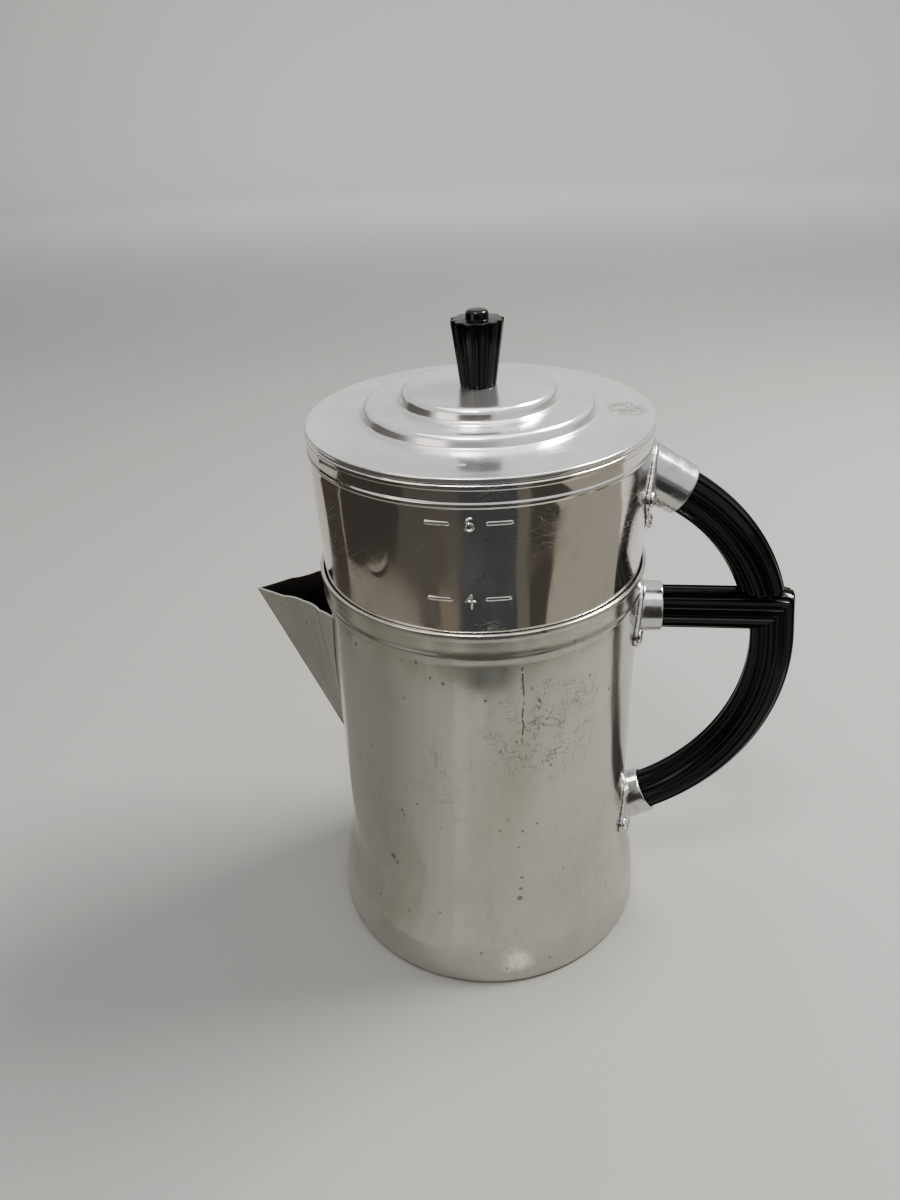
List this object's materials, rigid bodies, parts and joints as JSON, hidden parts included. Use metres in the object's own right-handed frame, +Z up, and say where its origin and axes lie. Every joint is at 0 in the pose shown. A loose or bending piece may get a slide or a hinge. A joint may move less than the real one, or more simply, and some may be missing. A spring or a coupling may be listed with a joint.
{
  "type": "drip coffee pot",
  "caption": "Two-stage stovetop drip coffee pot: a serving pot with a V spout and side handle carries a lift-off water container with its own handle, a coffee basket and a stepped lid.",
  "frame": {"origin": "centre of the flat base, on the pot's axis", "axes": "+Z up along the pot's axis, +X towards the handles, -X along the spout, -Y the face with the cup marks"},
  "size_m": [0.2088, 0.1304, 0.253],
  "materials": {
    "pot_aluminium": "dull satin spun aluminium with fine scratches, pits and stains",
    "polished_aluminium": "bright polished sheet, lightly scratched",
    "lid_aluminium": "satin spun sheet with fine concentric lines",
    "inner_aluminium": "plain matt sheet",
    "cast_aluminium": "tumbled and half polished casting",
    "rivet_aluminium": "bright worn rivet heads",
    "steel": "plain turned screws",
    "black_phenolic": "glossy moulded phenolic with lengthwise flutes"
  },
  "bodies": {
    "pot": {"pot_body": "pot_aluminium", "spout": "pot_aluminium", "middle_bracket": "cast_aluminium", "lower_bracket": "cast_aluminium", "middle_bracket_rivets": "rivet_aluminium", "lower_bracket_rivets": "rivet_aluminium", "lower_handle": "black_phenolic", "lower_handle_screws": "steel"},
    "brewer": {"water_container": "polished_aluminium", "drip_plate": "inner_aluminium", "upper_bracket": "cast_aluminium", "upper_bracket_rivets": "rivet_aluminium", "upper_handle": "black_phenolic", "upper_handle_screw": "steel"},
    "cover": {"lid": "lid_aluminium", "lid_knob": "black_phenolic", "knob_screw": "steel", "knob_washer": "inner_aluminium"},
    "basket": {"coffee_basket": "inner_aluminium"},
    "spreader": {"spreader_plate": "inner_aluminium", "spreader_knob": "black_phenolic", "spreader_rivet": "rivet_aluminium"}
  },
  "joints": [
    {"name": "container_lift", "type": "slide", "parent": "pot", "child": "brewer", "axis": [0, 0, 1], "range_m": [0, 0.105]},
    {"name": "lid_lift", "type": "slide", "parent": "brewer", "child": "cover", "axis": [0, 0, 1], "range_m": [0, 0.05]},
    {"name": "basket_pull", "type": "slide", "parent": "brewer", "child": "basket", "axis": [0, 0, -1], "range_m": [0, 0.06]},
    {"name": "spreader_lift", "type": "slide", "parent": "basket", "child": "spreader", "axis": [0, 0, 1], "range_m": [0, 0.005]}
  ]
}
